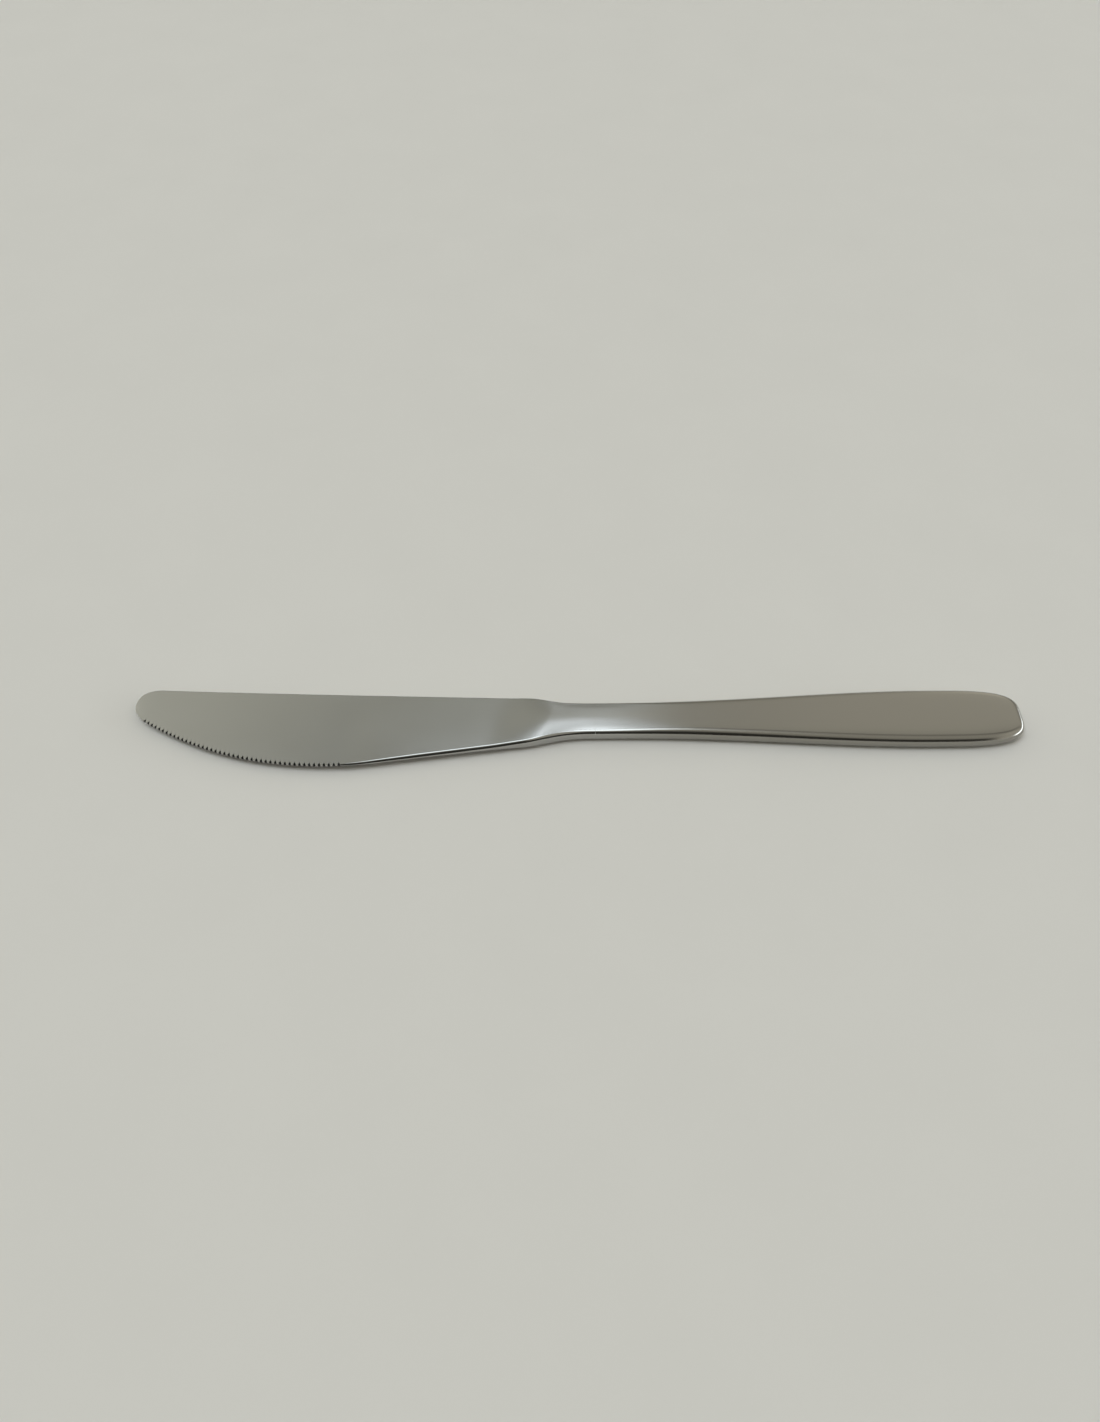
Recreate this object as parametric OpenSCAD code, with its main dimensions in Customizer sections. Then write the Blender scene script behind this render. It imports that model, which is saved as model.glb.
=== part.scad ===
// Dessert knife, lying flat on its side.
// X runs from the tip of the blade (-) to the butt of the handle (+), Y from the cutting edge (-)
// to the spine (+) and Z up from the surface that the handle lies on. The origin is under the middle.

/* [Overall] */
// Length from the tip of the blade to the butt of the handle
overall_length = 205; // [190:1:250]
// Width from the highest point of the spine to the lowest point of the belly
overall_width = 21.2; // [17.5:0.1:26]

/* [Blade] */
// Length from the tip to the brazed joint in the neck
blade_length = 106.5; // [88:0.5:128]
// Height of the top of the nose above the centre line of the handle
spine_height = 9.4; // [7.5:0.1:11]
// Height of the foremost point of the tip above the centre line of the handle
tip_height = 4.7; // [3:0.1:6]
// Distance from the tip to the end of the rounded nose
nose_length = 5.5; // [4:0.1:8]
// Length and drop of the rounding under the tip
chin_length = 3.1; // [2:0.1:5]
chin_drop = 2.2; // [1:0.1:3.5]
// Fall of the spine from the nose to the shoulder, in degrees
spine_fall = 2.4; // [0:0.05:3]
// Hollow of the spine, half way along it
spine_hollow = 0.2; // [0:0.05:0.5]
// Distance from the tip to the lowest point of the belly
belly_reach = 46.7; // [38:0.1:56]
// Length of the bend between the belly and the straight rear edge
belly_bend = 10; // [6:0.5:16]
// Rise of the rear edge towards the neck, in degrees
heel_rise = 7.55; // [6:0.05:9]
// Thickness of the spine behind the nose
tip_thickness = 1.2; // [1:0.05:1.6]
// Thickness of the spine at the shoulder
spine_thickness = 2.4; // [2:0.05:3]
// Thickness of the toothed edge
edge_thickness = 0.65; // [0.5:0.05:0.9]
// Thickness of the plain edge at the heel
heel_thickness = 2.2; // [1.6:0.05:2.8]
// Rounding of the blade's rim
blade_rim = 0.25; // [0.1:0.01:0.3]

/* [Teeth] */
// Number of notches between the teeth
tooth_count = 45; // [20:1:46]
// Distance from one notch to the next along the edge
tooth_pitch = 1.1; // [0.9:0.05:1.3]
// Width of a notch at the edge
notch_width = 0.75; // [0.4:0.05:0.85]
// Depth of a notch half way through the edge
notch_depth = 0.35; // [0.2:0.05:0.5]
// Lean of the notches, which are ground from the upper face, in degrees
notch_lean = 38; // [0:1:50]
// Distance from the tip to the first notch
first_notch = 3; // [2:0.5:8]

/* [Neck] */
// Width of the neck at the joint
neck_width = 8.9; // [7.4:0.1:11]
// Length of the curve that takes the spine down to the neck
shoulder_length = 9.5; // [7:0.5:16]
// Distance from the end of that curve to the joint
shoulder_setback = 5.7; // [2:0.1:8]
// Length of the curve that takes the rear edge in to the neck
heel_length = 16.4; // [12:0.1:24]
// Distance from the middle of the plunge line, where the blade has thickened to the neck, to the joint
plunge_setback = 10; // [8:0.1:14]
// How far the spine end of the plunge line leans towards the handle
plunge_slant = 1.5; // [0:0.1:4]
// How far the plunge line's middle bows towards the handle
plunge_bow = 0.3; // [0:0.1:2]
// Length over which the blade thickens up to the plunge line
rise_length = 13; // [10:0.5:20]
// Fall of the neck's upper face from its middle to its sides
neck_crown = 0.35; // [0.1:0.05:0.5]
// Rounding of the neck's rim
neck_rim = 1.05; // [0.6:0.05:1.2]

/* [Handle] */
// Greatest width of the handle
handle_width = 14.9; // [12.4:0.1:19]
// Thickness of the handle
handle_thickness = 3.8; // [3.1:0.1:5]
// Distance from the butt to the widest place of the handle
wide_setback = 22; // [18:0.5:28]
// Length of the rounded butt
butt_length = 22; // [14:0.5:28]
// Rounding of the handle's rim
handle_rim = 1.5; // [1:0.05:1.6]
// Distance from the joint to where the handle's faces are flat
crown_fade = 24; // [20:0.5:30]

/* [Joint] */
// Diameter of the blade's round tang
tang_diameter = 2; // [1.6:0.1:2.4]
// Length of the tang
tang_length = 14; // [8:0.5:20]
// Thickness of the braze film on every face of the joint
braze_film = 0.1; // [0.05:0.01:0.15]

/* [Hidden] */
$fn = 48;

// Places along the knife, and the height of the middle plane and of the handle's centre line
tip_x = -overall_length / 2;
butt_x = overall_length / 2;
joint_x = tip_x + blade_length;
nose_x = tip_x + nose_length;
belly_x = tip_x + belly_reach;
wide_x = butt_x - wide_setback;
shoulder_x = joint_x - shoulder_setback;
middle_z = handle_thickness / 2;
axis_y = overall_width / 2 - spine_height;
belly_y = spine_height - overall_width;

// Shape of the curves
belly_bulge = 2.2;
nose_power = 2.5;
chin_power = 2;
butt_power = 3.7;
spread_power = 1.18;
heel_power = 0.7;

// How finely the outline, the rim and the faces are divided
nose_steps = 10;
belly_steps = 14;
rear_steps = 18;
shoulder_steps = 22;
butt_steps = 16;
grip_steps = 32;
rim_steps = 3;
face_steps = 6;

// Most of a side's half thickness that its rounding may take
rim_limit = 0.9;

// How far the tang is sunk into the shoulder that it is one piece with
tang_root = 2;

// Smooth passage from 0 to 1
function ease(t) = let (u = min(max(t, 0), 1)) u * u * (3 - 2 * u);

function mix(a, b, t) = a + (b - a) * t;

// Rounded start of a curve: 0 at its end point and 1 from there on
function rounded(t, power) = t >= 1 ? 1 : pow(1 - pow(1 - t, power), 1 / power);

// How far the rounded nose has opened out: 0 at the tip and 1 behind the nose
function nose(x) = rounded((x - tip_x) / nose_length, nose_power);

// Height of the spine and of the edge over the handle's centre line, along the blade
function spine_line(x) =
    let (run = x - nose_x, along = run / (shoulder_x - nose_x))
    spine_height - tan(spine_fall) * run - spine_hollow * 4 * along * (1 - along);
function spine_y(x) =
    x < nose_x ? mix(tip_height, spine_height, nose(x))
    : mix(spine_line(x), neck_width / 2, ease((x - shoulder_x) / shoulder_length + 1));

function belly_curve(x) =
    mix(tip_height, belly_y + chin_drop, 1 - pow(1 - (x - tip_x) / belly_reach, belly_bulge))
    - chin_drop * rounded((x - tip_x) / chin_length, chin_power);
function heel_line(x) =
    let (run = x - belly_x)
    belly_y + tan(heel_rise) * (run < belly_bend ? run * run / (2 * belly_bend) : run - belly_bend / 2);
function edge_y(x) =
    x < belly_x ? belly_curve(x)
    : mix(heel_line(x), -neck_width / 2, ease((x - joint_x) / heel_length + 1));

// Half the width of the handle
function spread(x) = pow(min(max((x - joint_x) / (wide_x - joint_x), 0), 1), spread_power);
function grip_y(x) =
    mix(neck_width, handle_width, ease(spread(x))) / 2 * rounded((butt_x - x) / butt_length, butt_power);

// Half thickness of the knife at a place x and at a share of its width,
// which is -1 at the edge and 1 at the spine
function spine_half(x) =
    mix(tip_thickness, spine_thickness, ease((x - tip_x) / (shoulder_x - shoulder_length - tip_x))) / 2;
function edge_half(x) =
    let (t = (x - belly_x) / (joint_x - heel_length - belly_x))
    mix(edge_thickness, heel_thickness, pow(min(max(t, 0), 1), heel_power)) / 2;
function plate_half(x, share) = mix(edge_half(x), spine_half(x), nose(x) * (share + 1) / 2);
function crown(x) = neck_crown * (1 - ease((x - joint_x) / crown_fade));
function body_half(x, share) = handle_thickness / 2 - crown(x) * share * share;
function plunge_x(share) = joint_x - plunge_setback + plunge_slant * share - plunge_bow * share * share;
function rise(x, share) = ease((x - plunge_x(share)) / rise_length + 1);
function half_thickness(x, share) = mix(plate_half(x, share), body_half(x, share), rise(x, share));

// Rounding of the rim along the knife, as far as the thickness of the side lets it
function rounding(x) =
    x < joint_x ? mix(blade_rim, neck_rim, ease((x - joint_x) / heel_length + 1))
    : mix(neck_rim, handle_rim, ease((x - joint_x) / crown_fade));
function rim(x, share) = min(rounding(x), rim_limit * half_thickness(x, share));

// One point of the rim: its inset from the outline and its height.
// Its level counts from the lower face to the upper one.
rim_levels = 2 * (rim_steps + 1);
function level_side(level) = level > rim_steps ? 1 : -1;
function level_angle(level) = level_side(level) == 1 ? 90 * (level - rim_steps - 1) / rim_steps
    : 90 * (level / rim_steps - 1);
function rim_inset(x, share, level) = rim(x, share) * (1 - cos(level_angle(level)));
function rim_height(x, share, level) =
    level_side(level) * (half_thickness(x, share) - rim(x, share))
    + rim(x, share) * sin(level_angle(level));

// Outward direction of an outline at its point i, where way is the way that its rounded end faces
function outward(points, i, side, way) =
    i == 0 ? [way, 0]
    : i == len(points) - 1 ? [0, side]
    : let (run = points[i + 1] - points[i - 1]) side * sign(run.x) * [-run.y, run.x] / norm(run);

// A point of the surface, from a plan point and its height over the middle plane
function lifted(plan, z) = [plan.x, plan.y + axis_y, z + middle_z];

// Section through the knife at station i, from the near side's lower face round to its start again.
// near and far are the outlines of the edge side and of the spine side.
function section(near, far, i, way) =
    let (
        x = near[i].x,
        near_out = outward(near, i, -1, way),
        far_out = outward(far, i, 1, way),
        near_side = [for (level = [0:rim_levels - 1])
            lifted(near[i] - rim_inset(x, -1, level) * near_out, rim_height(x, -1, level))],
        far_side = [for (level = [rim_levels - 1:-1:0])
            lifted(far[i] - rim_inset(x, 1, level) * far_out, rim_height(x, 1, level))],
        near_in = near[i] - rim(x, -1) * near_out,
        far_in = far[i] - rim(x, 1) * far_out,
        top = [for (k = [1:face_steps - 1])
            let (t = k / face_steps) lifted(mix(near_in, far_in, t), half_thickness(x, 2 * t - 1))],
        bottom = [for (k = [face_steps - 1:-1:1])
            let (t = k / face_steps) lifted(mix(near_in, far_in, t), -half_thickness(x, 2 * t - 1))]
    )
    concat(near_side, top, far_side, bottom);
section_size = 2 * rim_levels + 2 * (face_steps - 1);

// The rounded end has one profile, which the two sides share: the level that a section's point folds to
far_start = rim_levels + face_steps - 1;
function folded(j) =
    j < rim_levels ? j
    : j < far_start ? rim_levels - 1
    : j < far_start + rim_levels ? far_start + rim_levels - 1 - j
    : 0;

// Solid between two outlines that meet in a rounded end at their first point and stop square at their last
module slab(near, far, way) {
    last = len(near) - 1;
    end_profile = [for (level = [0:rim_levels - 1]) section(near, far, 0, way)[level]];
    sections = [for (i = [1:last]) each section(near, far, i, way)];
    function at(i, j) = i == 0 ? folded(j % section_size)
        : rim_levels + (i - 1) * section_size + j % section_size;
    function facing(a, b, c) = way < 0 ? [c, b, a] : [a, b, c];
    function whole(face) = face[0] != face[1] && face[1] != face[2] && face[2] != face[0];
    strips = [for (i = [0:last - 1], j = [0:section_size - 1])
        each [facing(at(i, j), at(i + 1, j + 1), at(i, j + 1)),
              facing(at(i, j), at(i + 1, j), at(i + 1, j + 1))]];
    square_end = [for (j = [0:section_size - 1]) at(last, way < 0 ? j : section_size - 1 - j)];
    polyhedron(concat(end_profile, sections),
               concat([for (face = strips) if (whole(face)) face], [square_end]));
}

// Stations along the blade: close together round the nose and through the shoulder
heel_x = joint_x - heel_length;
blade_xs = concat(
    [for (i = [0:nose_steps]) tip_x + nose_length * (1 - cos(90 * i / nose_steps))],
    [for (i = [1:belly_steps]) mix(nose_x, belly_x, i / belly_steps)],
    [for (i = [1:rear_steps]) mix(belly_x, heel_x, i / rear_steps)],
    [for (i = [1:shoulder_steps]) mix(heel_x, joint_x, i / shoulder_steps)]);

// Stations along the handle, from the rounded butt to the joint
handle_start = joint_x + braze_film;
handle_xs = concat(
    [for (i = [0:butt_steps]) butt_x - butt_length * (1 - pow(cos(90 * i / butt_steps), 2 / butt_power))],
    [for (i = [1:grip_steps]) mix(butt_x - butt_length, handle_start, i / grip_steps)]);

// The tang, and the bore that it sits in with the braze round it and at its end
module tang() {
    translate([joint_x - tang_root, axis_y, middle_z]) rotate([0, 90, 0])
        cylinder(d = tang_diameter, h = tang_root + tang_length);
}
module tang_bore() {
    translate([joint_x, axis_y, middle_z]) rotate([0, 90, 0])
        cylinder(d = tang_diameter + 2 * braze_film, h = tang_length + braze_film);
}

// Places of the notches, one pitch after another along the curved edge
slope_step = 0.01;
function edge_slope(x) = (edge_y(x + slope_step) - edge_y(x - slope_step)) / (2 * slope_step);
function next_notch(x) = x + tooth_pitch / norm([1, edge_slope(x)]);
notch_xs = [for (i = 0, x = tip_x + first_notch; i < tooth_count; i = i + 1, x = next_notch(x)) x];

// One ground notch: a leaning wedge across the edge
module notch(x) {
    translate([x, edge_y(x) + axis_y, middle_z])
        rotate([0, 0, atan(edge_slope(x))])
            rotate([notch_lean, 0, 0])
                linear_extrude(handle_thickness, center = true)
                    polygon([[-notch_width, -notch_depth], [notch_width, -notch_depth], [0, notch_depth]]);
}

// Blade, shoulder and tang, one forging
module blade() {
    color("#8b8c86") difference() {
        union() {
            slab([for (x = blade_xs) [x, edge_y(x)]], [for (x = blade_xs) [x, spine_y(x)]], -1);
            tang();
        }
        for (x = notch_xs) notch(x);
    }
}

// Solid handle with the blind bore for the tang
module handle() {
    color("#7f7b6f") difference() {
        slab([for (x = handle_xs) [x, -grip_y(x)]], [for (x = handle_xs) [x, grip_y(x)]], 1);
        tang_bore();
    }
}

// Braze between the two: a film on the face of the joint and round the tang
module braze_joint() {
    near = [for (x = [shoulder_x, joint_x]) [x, edge_y(x)]];
    far = [for (x = [shoulder_x, joint_x]) [x, spine_y(x)]];
    face = [for (p = section(near, far, 1, -1)) [-p.z, p.y]];
    color("#b9b39c") difference() {
        union() {
            translate([joint_x, 0, 0]) rotate([0, 90, 0]) linear_extrude(braze_film) polygon(face);
            tang_bore();
        }
        tang();
    }
}

blade();
handle();
braze_joint();
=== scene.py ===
import math
from typing import NamedTuple

import bmesh
import bpy
from bpy.props import FloatProperty, FloatVectorProperty, IntProperty, PointerProperty
from mathutils import Matrix, Vector


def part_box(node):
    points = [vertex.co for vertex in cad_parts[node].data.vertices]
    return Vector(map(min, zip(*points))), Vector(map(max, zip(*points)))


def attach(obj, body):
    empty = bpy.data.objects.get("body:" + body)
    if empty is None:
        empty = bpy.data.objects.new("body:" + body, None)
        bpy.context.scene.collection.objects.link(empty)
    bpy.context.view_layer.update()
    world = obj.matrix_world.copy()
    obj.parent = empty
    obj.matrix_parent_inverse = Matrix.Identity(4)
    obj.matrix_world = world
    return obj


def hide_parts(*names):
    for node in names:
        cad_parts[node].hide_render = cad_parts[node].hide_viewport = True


bl_info = {
    "name": "Dessert knife",
    "version": (1, 0, 0),
    "blender": (4, 5, 0),
    "location": "3D View > Sidebar > Knife",
    "description": "Models the looks of an all-steel dessert knife around its packed construction",
    "category": "Object",
}

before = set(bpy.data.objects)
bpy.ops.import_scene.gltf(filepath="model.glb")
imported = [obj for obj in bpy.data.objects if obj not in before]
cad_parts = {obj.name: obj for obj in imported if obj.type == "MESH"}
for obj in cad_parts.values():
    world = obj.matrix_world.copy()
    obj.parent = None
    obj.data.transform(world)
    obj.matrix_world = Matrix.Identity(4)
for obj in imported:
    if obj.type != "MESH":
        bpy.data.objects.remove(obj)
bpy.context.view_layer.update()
MM = 0.001

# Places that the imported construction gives, in metres
BLADE_LOW, BLADE_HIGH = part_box("blade")
HANDLE_LOW, HANDLE_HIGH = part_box("handle")
BRAZE_LOW, BRAZE_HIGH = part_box("braze_joint")
TIP_X = BLADE_LOW.x
BUTT_X = HANDLE_HIGH.x
JOINT_X = BRAZE_LOW.x
FILM = HANDLE_LOW.x - JOINT_X
TANG_END_X = BLADE_HIGH.x
AXIS_Y = (HANDLE_LOW.y + HANDLE_HIGH.y) / 2
MIDDLE_Z = HANDLE_HIGH.z / 2

# The photograph's frame, in pixels
PHOTO_WIDTH = 1100
PHOTO_HEIGHT = 1422


def length_prop(name, description, default_mm):
    """A size in metres, given in millimetres."""
    return FloatProperty(name=name, description=description, default=default_mm * MM, unit="LENGTH",
                         precision=5)


def angle_prop(name, description, default_degrees):
    """An angle in radians, given in degrees."""
    return FloatProperty(name=name, description=description, default=math.radians(default_degrees),
                         subtype="ANGLE", unit="ROTATION")


def share_prop(name, description, default):
    """A share from 0 to 1."""
    return FloatProperty(name=name, description=description, default=default, subtype="FACTOR", min=0, max=1)


def light_prop(name, description, default):
    """A radiance, where 1 is that of a white surface in full light."""
    return FloatProperty(name=name, description=description, default=default, min=0)


def colour_prop(name, description, default):
    """A colour as the surface or the light has it, in linear values."""
    return FloatVectorProperty(name=name, description=description, default=default, subtype="COLOR",
                               size=3, min=0, max=1)


class KnifeBladeSizes(bpy.types.PropertyGroup):
    """Sizes of the blade"""

    spine_height: length_prop("Spine height", "Top of the nose over the handle's centre line",
                              (BLADE_HIGH.y - AXIS_Y) / MM)
    belly_depth: length_prop("Belly depth", "Lowest point of the belly under the handle's centre line", 11.8)
    tip_height: length_prop("Tip height", "Foremost point of the tip over the handle's centre line", 4.7)
    nose_length: length_prop("Nose length", "From the tip to the end of the rounded nose", 5.5)
    chin_length: length_prop("Chin length", "Length of the rounding under the tip", 3.1)
    chin_drop: length_prop("Chin drop", "Drop of the rounding under the tip", 2.2)
    spine_fall: angle_prop("Spine fall", "Slope of the spine down to the shoulder", 2.4)
    spine_hollow: length_prop("Spine hollow", "Hollow of the spine, half way along it", 0.2)
    belly_reach: length_prop("Belly reach", "From the tip to the lowest point of the belly", 46.7)
    belly_bend: length_prop("Belly bend", "Length of the bend between the belly and the rear edge", 10)
    heel_rise: angle_prop("Heel rise", "Slope of the rear edge up to the neck", 7.55)
    tip_thickness: length_prop("Tip thickness", "Thickness of the spine behind the nose", 1.2)
    spine_thickness: length_prop("Spine thickness", "Thickness of the spine at the shoulder", 2.4)
    edge_thickness: length_prop("Edge thickness", "Thickness of the toothed edge", 0.65)
    heel_thickness: length_prop("Heel thickness", "Thickness of the plain edge at the heel", 2.2)
    rim: length_prop("Blade rim", "Rounding of the spine's rim", 0.25)
    rear_rim: length_prop("Rear rim", "Blunt bevel of the plain rear edge", 0.7)
    edge_roll: length_prop("Edge roll", "Fall of the faces towards the plain rear edge", 0.085)
    roll_reach: length_prop("Roll reach", "From the edge to where that fall starts", 9)
    edge_bevel: length_prop("Edge bevel", "Depth of the bevel along the toothed edge", 0.07)


class KnifeToothSizes(bpy.types.PropertyGroup):
    """Sizes of the notches between the teeth"""

    count: IntProperty(name="Notches", description="Number of notches between the teeth", default=45, min=0)
    pitch: length_prop("Pitch", "From one notch to the next along the edge", 1.1)
    width: length_prop("Width", "Width of a notch at the edge", 0.62)
    upper_depth: length_prop("Upper depth", "Depth of a notch in the upper face", 0.6)
    lower_depth: length_prop("Lower depth", "Depth of a notch in the lower face", 0.1)
    setback: length_prop("Setback", "From the tip to the start of the first notch", 2.5)


class KnifeNeckSizes(bpy.types.PropertyGroup):
    """Sizes of the neck and of the joint in it"""

    width: length_prop("Neck width", "Width of the neck at the joint", (BRAZE_HIGH.y - BRAZE_LOW.y) / MM)
    shoulder_length: length_prop("Shoulder length", "Curve that takes the spine down to the neck", 9.5)
    shoulder_setback: length_prop("Shoulder setback", "From the end of that curve to the joint", 5.7)
    heel_length: length_prop("Heel length", "Curve that takes the rear edge in to the neck", 16.4)
    plunge_setback: length_prop("Plunge setback", "From the middle of the plunge line to the joint", 10)
    plunge_slant: length_prop("Plunge slant", "Lean of the plunge line's spine end to the handle", 1.5)
    plunge_bow: length_prop("Plunge bow", "Bow of the plunge line's middle to the handle", 0.3)
    rise_length: length_prop("Rise length", "Length over which the blade thickens up to that line", 13)
    crown: length_prop("Crown", "Fall of the neck's face from its middle to its sides", 0.35)
    rim: length_prop("Neck rim", "Rounding of the neck's rim", 1.05)
    tang_diameter: length_prop("Tang diameter", "Diameter of the round tang in the joint", 2)


class KnifeHandleSizes(bpy.types.PropertyGroup):
    """Sizes of the handle"""

    width: length_prop("Handle width", "Greatest width of the handle", (HANDLE_HIGH.y - HANDLE_LOW.y) / MM)
    wide_setback: length_prop("Wide setback", "From the butt to the widest place", 22)
    butt_length: length_prop("Butt length", "Length of the rounded butt", 22)
    rim: length_prop("Handle rim", "Rounding of the handle's rim", 1.62)
    crown_fade: length_prop("Crown fade", "From the joint to where the faces are flat", 24)
    fall: length_prop("Face fall", "Fall of the faces towards the outline, most of it next to the rim", 0.22)


class KnifeFinish(bpy.types.PropertyGroup):
    """Colours and finish of the metals"""

    blade_colour: colour_prop("Blade steel", "Colour of the blade's steel", (0.45, 0.445, 0.428))
    handle_colour: colour_prop("Handle steel", "Colour of the handle's steel", (0.45, 0.445, 0.428))
    braze_colour: colour_prop("Braze", "Colour of the pale braze in the joint", (0.45, 0.443, 0.419))
    # Tint that makes the grip's steel darker and warmer than the blade's
    grip_tint: colour_prop("Grip tint", "Tint that handling has left on the grip", (0.76, 0.74, 0.70))
    satin: share_prop("Satin roughness", "Roughness of the brushed faces", 0.2)
    polish: share_prop("Rim roughness", "Roughness of the polished rims", 0.08)
    wear: share_prop("Rim wear", "How far use has dulled the handle's rim towards its faces", 0.7)
    notch: share_prop("Notch roughness", "Roughness of the ground notches", 0.6)
    braze: share_prop("Braze roughness", "Roughness of the braze", 0.25)
    grain_width: length_prop("Grain width", "Width of one brush line", 0.12)
    grain_length: length_prop("Grain length", "Length of one brush line", 14)


class KnifeStage(bpy.types.PropertyGroup):
    """Floor, light and camera"""

    floor_colour: colour_prop("Floor", "Colour of the plain floor", (0.708, 0.68, 0.638))
    room_colour: colour_prop("Room", "Tint of the walls on the blade's side", (1.0, 1.0, 0.87))
    warm_colour: colour_prop("Warm side", "Tint of the walls on the handle's side", (1.0, 0.97, 0.85))
    lamp_colour: colour_prop("Lamps", "Tint of the lamps and windows", (0.84, 0.925, 1.0))
    room_light: light_prop("Room light", "Light of the whole room", 1.11)
    panel_light: light_prop("Panel light", "Light of the panel overhead", 1.9)
    neck_light: light_prop("Neck light", "Light of the soft lamp over the neck", 2.3)
    far_light: light_prop("Far light", "Light of the window across the table", 1.1)
    left_light: light_prop("Left light", "Light of the bright wall past the tip", 0.35)
    ceiling_light: light_prop("Ceiling light", "Light of the lamp on the ceiling past the tip", 5.0)
    spill_light: light_prop("Spill light", "Light that the panel spills on the ceiling behind it", 0.5)
    butt_light: light_prop("Butt light", "Light of the low window past the butt", 3.9)
    shade_depth: share_prop("Shade depth", "Share of the light that the dark place behind the camera takes",
                            0.88)
    camera_elevation: angle_prop("Camera elevation", "Height of the camera over the horizon", 54)
    camera_turn: angle_prop("Camera turn", "Turn of the camera about the knife", -0.536)
    camera_distance: length_prop("Camera distance", "From the camera to its target", 238.5)
    target_x: length_prop("Target x", "Target of the camera along the knife", -6.193)
    target_y: length_prop("Target y", "Target of the camera across the knife", 5.5165)
    focal_pixels: FloatProperty(name="Focal length", description="Focal length in pixels of the photograph",
                                default=1017.6, subtype="PIXEL")


# Powers of the rounded outlines and of the passages between them
BELLY_BULGE = 2.2
NOSE_POWER = 2.5
CHIN_POWER = 2
BUTT_POWER = 3.7
SPREAD_POWER = 1.18
HEEL_POWER = 0.7
# Share of the rear edge over which it starts to thicken
HEEL_START = 0.25
# Most of a side's half thickness that its rounding or its bevel may take
RIM_LIMIT = 0.9
BEVEL_LIMIT = 0.88
# Power of the rear edge's blunt profile, where 1 is round
BLUNT_POWER = 1.3
# Power of the fall of the handle's faces: the higher it is, the closer to the rim the fall is
FALL_POWER = 8


def clamp(value, low=0, high=1):
    return min(max(value, low), high)


def ease(t):
    """Smooth passage from 0 to 1."""
    u = clamp(t)
    return u * u * (3 - 2 * u)


def mix(a, b, t):
    return a + (b - a) * t


def rounded(t, power):
    """Rounded start of a curve: 0 at its end point and 1 from there on."""
    return 1 if t >= 1 else (1 - (1 - max(t, 0)) ** power) ** (1 / power)


def steps(start, end, count):
    """Even steps from start, left out, to end."""
    return [mix(start, end, (i + 1) / count) for i in range(count)]


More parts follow.
